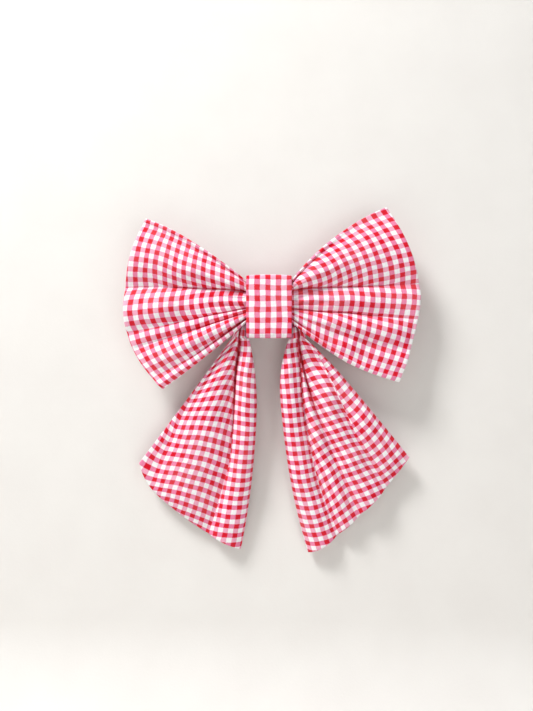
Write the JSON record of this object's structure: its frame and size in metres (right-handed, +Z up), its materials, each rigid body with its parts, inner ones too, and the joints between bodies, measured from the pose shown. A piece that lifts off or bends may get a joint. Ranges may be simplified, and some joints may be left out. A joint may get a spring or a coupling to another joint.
{
  "type": "fabric hair bow",
  "caption": "Sewn gingham hair bow with two gathered wings, two slanted tails and a centre wrap, on a barrette whose arm opens and locks in a pinch clasp.",
  "frame": {"origin": "middle of the barrette's mouth, between the tension bar and the closed arm", "axes": "+Z up as the bow is worn, the front faces -Y, the wearer's head is towards +Y, X runs along the barrette with the clasp at +X"},
  "size_m": [0.1814, 0.0257, 0.211],
  "materials": {
    "gingham": "matt woven cotton in red and white checks",
    "gingham_wrap": "matt woven cotton in red and white checks, cut on the straight",
    "interfacing": "white bonded stiffener",
    "thread": "red polyester sewing thread",
    "glue": "clouded set glue",
    "barrette_steel": "nickel-plated sheet steel",
    "spring_steel": "plated spring steel, finely brushed along its length"
  },
  "bodies": {
    "bow_root": {"barrette_base_plate": "barrette_steel", "barrette_hinge_pin": "barrette_steel", "barrette_tension_bar": "spring_steel", "centre_wrap": "gingham_wrap", "clasp_bracket": "barrette_steel", "clasp_rivet": "barrette_steel", "gather_thread": "thread", "glue_pad": "glue", "tail_fold_left": "gingham", "tail_fold_right": "gingham", "tail_strip_centre": "gingham", "wing_gathered_centre": "gingham", "wrap_closing_stitches": "thread"},
    "wing_left": {"wing_left_front_panel": "gingham", "wing_left_interfacing": "interfacing", "wing_left_back_panel": "gingham"},
    "wing_right": {"wing_right_front_panel": "gingham", "wing_right_interfacing": "interfacing", "wing_right_back_panel": "gingham"},
    "tail_left": {"tail_left_front_panel": "gingham", "tail_left_interfacing": "interfacing", "tail_left_back_panel": "gingham"},
    "tail_right": {"tail_right_front_panel": "gingham", "tail_right_interfacing": "interfacing", "tail_right_back_panel": "gingham"},
    "arm": {"barrette_arm": "barrette_steel"},
    "prong_upper": {"clasp_prong_upper": "spring_steel"},
    "prong_lower": {"clasp_prong_lower": "spring_steel"}
  },
  "joints": [
    {"name": "wing_left_bend", "type": "hinge", "parent": "bow_root", "child": "wing_left", "pos_m": [-0.0145, -0.0139, 0], "axis": [0, 0, 1], "range_deg": [-4, 30], "stiffness_Nm_per_rad": 0.02},
    {"name": "wing_right_bend", "type": "hinge", "parent": "bow_root", "child": "wing_right", "pos_m": [0.0145, -0.0139, 0], "axis": [0, 0, -1], "range_deg": [-4, 30], "stiffness_Nm_per_rad": 0.02},
    {"name": "tail_left_swing", "type": "hinge", "parent": "bow_root", "child": "tail_left", "pos_m": [-0.017, -0.0089, -0.021], "axis": [-1, 0, 0], "range_deg": [0, 35], "stiffness_Nm_per_rad": 0.02},
    {"name": "tail_right_swing", "type": "hinge", "parent": "bow_root", "child": "tail_right", "pos_m": [0.017, -0.0089, -0.021], "axis": [-1, 0, 0], "range_deg": [0, 35], "stiffness_Nm_per_rad": 0.02},
    {"name": "arm_open", "type": "hinge", "parent": "bow_root", "child": "arm", "pos_m": [-0.038, 0.005, 0], "axis": [0, 0, 1], "range_deg": [0, 75]},
    {"name": "prong_upper_pinch", "type": "hinge", "parent": "bow_root", "child": "prong_upper", "pos_m": [0.0375, 0.0012, 0.0022], "axis": [-1, 0, 0], "range_deg": [0, 12], "stiffness_Nm_per_rad": 0.02},
    {"name": "prong_lower_pinch", "type": "hinge", "parent": "bow_root", "child": "prong_lower", "pos_m": [0.0375, 0.0012, -0.0022], "axis": [1, 0, 0], "range_deg": [0, 12], "stiffness_Nm_per_rad": 0.02}
  ],
  "couplings": [
    {"joint": "prong_lower_pinch", "follows": "prong_upper_pinch", "ratio": 1}
  ]
}
